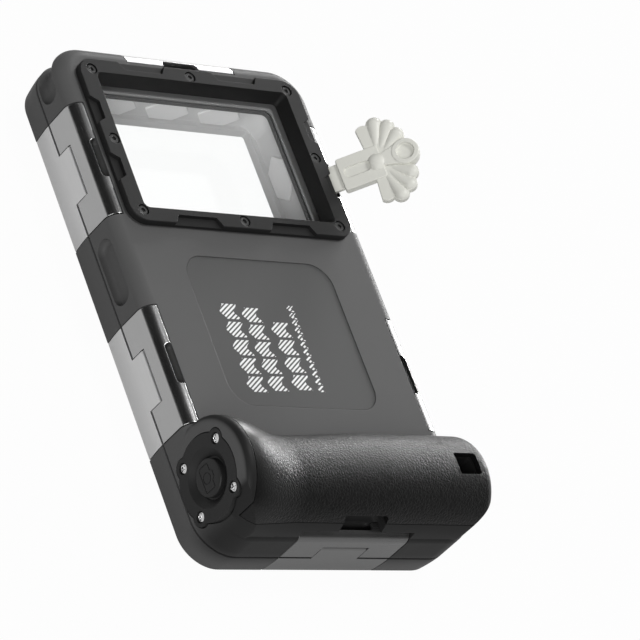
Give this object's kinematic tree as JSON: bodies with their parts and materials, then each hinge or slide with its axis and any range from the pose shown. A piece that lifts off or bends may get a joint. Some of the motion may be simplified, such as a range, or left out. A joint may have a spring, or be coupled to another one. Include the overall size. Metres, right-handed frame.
{
  "type": "waterproof phone case",
  "caption": "Rigid diving case for a phone: camera window in a screwed bezel, over-centre latches, hand grip with shutter button, and an opening key.",
  "frame": {"origin": "centre of the screen face, which the case lies on", "axes": "+Y towards the camera window end, with the grip at -Y; +Z out of the back face; +X to the right seen from the back"},
  "size_m": [0.1353, 0.2, 0.05],
  "materials": {
    "shell_plastic": "satin moulded black",
    "bezel_plastic": "satin moulded black",
    "plate_plastic": "fine matt black",
    "button_rubber": "matt black",
    "latch_metal": "brushed grey",
    "hook_metal": "brushed light grey",
    "pin_steel": "bright drawn steel",
    "screw_stainless": "bright stainless",
    "screw_black": "blackened",
    "grip_rubber": "leather grain",
    "liner_silicone": "soft light grey",
    "gasket_silicone": "soft mid grey",
    "seal_rubber": "smooth black",
    "seal_silicone": "smooth red",
    "side_button_plastic": "satin grey",
    "window_glass": "clear",
    "board_green": "solder mask",
    "cell_grey": "foil wrap",
    "key_plastic": "off-white moulded"
  },
  "bodies": {
    "root": {"front_shell": "shell_plastic", "rear_shell": "shell_plastic", "front_window": "window_glass", "rear_window_glass": "window_glass", "front_window_seal": "seal_rubber", "main_seal": "seal_silicone", "cushion_liner": "liner_silicone", "rear_window_gasket": "gasket_silicone", "rear_window_bezel": "bezel_plastic", "grip_cover": "grip_rubber", "button_plate": "plate_plastic", "button_spring": "pin_steel", "button_seal": "seal_rubber", "side_button_seal": "seal_rubber", "lanyard_pin": "pin_steel", "circuit_board": "board_green", "battery_cell": "cell_grey", "control_switch": "cell_grey", "bezel_screw_1": "screw_black", "bezel_screw_2": "screw_black", "bezel_screw_3": "screw_black", "bezel_screw_4": "screw_black", "bezel_screw_5": "screw_black", "bezel_screw_6": "screw_black", "bezel_screw_7": "screw_black", "bezel_screw_8": "screw_black", "plate_screw_1": "screw_stainless", "plate_screw_2": "screw_stainless", "plate_screw_3": "screw_stainless", "plate_screw_4": "screw_stainless", "hinge_pin_left_upper": "pin_steel", "hinge_pin_left_lower": "pin_steel", "hinge_pin_right_upper": "pin_steel", "hinge_pin_right_lower": "pin_steel", "hinge_pin_top": "pin_steel", "hinge_pin_bottom": "pin_steel"},
    "latch_left_upper": {"lever_left_upper": "latch_metal", "link_pin_left_upper": "pin_steel"},
    "latch_left_lower": {"lever_left_lower": "latch_metal", "link_pin_left_lower": "pin_steel"},
    "latch_right_upper": {"lever_right_upper": "latch_metal", "link_pin_right_upper": "pin_steel"},
    "latch_right_lower": {"lever_right_lower": "latch_metal", "link_pin_right_lower": "pin_steel"},
    "latch_top": {"lever_top": "latch_metal", "link_pin_top": "pin_steel"},
    "latch_bottom": {"lever_bottom": "latch_metal", "link_pin_bottom": "pin_steel"},
    "hook_left_upper": {"hook_left_upper": "hook_metal"},
    "hook_left_lower": {"hook_left_lower": "hook_metal"},
    "hook_right_upper": {"hook_right_upper": "hook_metal"},
    "hook_right_lower": {"hook_right_lower": "hook_metal"},
    "hook_top": {"hook_top": "hook_metal"},
    "hook_bottom": {"hook_bottom": "hook_metal"},
    "shutter_button": {"shutter_button": "button_rubber"},
    "side_button": {"side_button": "side_button_plastic"},
    "opening_key": {"opening_key": "key_plastic"}
  },
  "joints": [
    {"name": "latch_left_upper_swing", "type": "hinge", "parent": "root", "child": "latch_left_upper", "pos_m": [-0.0549, 0.0508, 0.0117], "axis": [0, -1, 0], "range_deg": [0, 78]},
    {"name": "hook_left_upper_swing", "type": "hinge", "parent": "latch_left_upper", "child": "hook_left_upper", "pos_m": [-0.0549, 0.0508, 0.0152], "axis": [0, -1, 0], "range_deg": [-116, 0]},
    {"name": "latch_left_lower_swing", "type": "hinge", "parent": "root", "child": "latch_left_lower", "pos_m": [-0.0549, -0.0333, 0.0117], "axis": [0, -1, 0], "range_deg": [0, 78]},
    {"name": "hook_left_lower_swing", "type": "hinge", "parent": "latch_left_lower", "child": "hook_left_lower", "pos_m": [-0.0549, -0.0333, 0.0152], "axis": [0, -1, 0], "range_deg": [-116, 0]},
    {"name": "latch_right_upper_swing", "type": "hinge", "parent": "root", "child": "latch_right_upper", "pos_m": [0.0549, 0.0508, 0.0117], "axis": [0, 1, 0], "range_deg": [0, 78]},
    {"name": "hook_right_upper_swing", "type": "hinge", "parent": "latch_right_upper", "child": "hook_right_upper", "pos_m": [0.0549, 0.0508, 0.0152], "axis": [0, 1, 0], "range_deg": [-116, 0]},
    {"name": "latch_right_lower_swing", "type": "hinge", "parent": "root", "child": "latch_right_lower", "pos_m": [0.0549, -0.0333, 0.0117], "axis": [0, 1, 0], "range_deg": [0, 78]},
    {"name": "hook_right_lower_swing", "type": "hinge", "parent": "latch_right_lower", "child": "hook_right_lower", "pos_m": [0.0549, -0.0333, 0.0152], "axis": [0, 1, 0], "range_deg": [-116, 0]},
    {"name": "latch_top_swing", "type": "hinge", "parent": "root", "child": "latch_top", "pos_m": [0, 0.0979, 0.0117], "axis": [-1, 0, 0], "range_deg": [0, 78]},
    {"name": "hook_top_swing", "type": "hinge", "parent": "latch_top", "child": "hook_top", "pos_m": [0, 0.0979, 0.0152], "axis": [-1, 0, 0], "range_deg": [-116, 0]},
    {"name": "latch_bottom_swing", "type": "hinge", "parent": "root", "child": "latch_bottom", "pos_m": [0, -0.0979, 0.0117], "axis": [1, 0, 0], "range_deg": [0, 78]},
    {"name": "hook_bottom_swing", "type": "hinge", "parent": "latch_bottom", "child": "hook_bottom", "pos_m": [0, -0.0979, 0.0152], "axis": [1, 0, 0], "range_deg": [-116, 0]},
    {"name": "shutter_press", "type": "slide", "parent": "root", "child": "shutter_button", "axis": [1, 0, 0], "range_m": [0, 0.0015], "stiffness_N_per_m": 900, "springref_m": -0.001, "deforming": ["button_spring"]},
    {"name": "side_button_press", "type": "slide", "parent": "root", "child": "side_button", "axis": [-1, 0, 0], "range_m": [0, 0.0012], "stiffness_N_per_m": 700, "springref_m": -0.001},
    {"name": "key_pull", "type": "slide", "parent": "root", "child": "opening_key", "axis": [0.7071, 0, 0.7071], "range_m": [0, 0.03]}
  ],
  "couplings": [
    {"joint": "hook_left_upper_swing", "follows": "latch_left_upper_swing", "ratio": -1.15},
    {"joint": "hook_left_lower_swing", "follows": "latch_left_lower_swing", "ratio": -1.15},
    {"joint": "hook_right_upper_swing", "follows": "latch_right_upper_swing", "ratio": -1.15},
    {"joint": "hook_right_lower_swing", "follows": "latch_right_lower_swing", "ratio": -1.15},
    {"joint": "hook_top_swing", "follows": "latch_top_swing", "ratio": -1.15},
    {"joint": "hook_bottom_swing", "follows": "latch_bottom_swing", "ratio": -1.15}
  ]
}
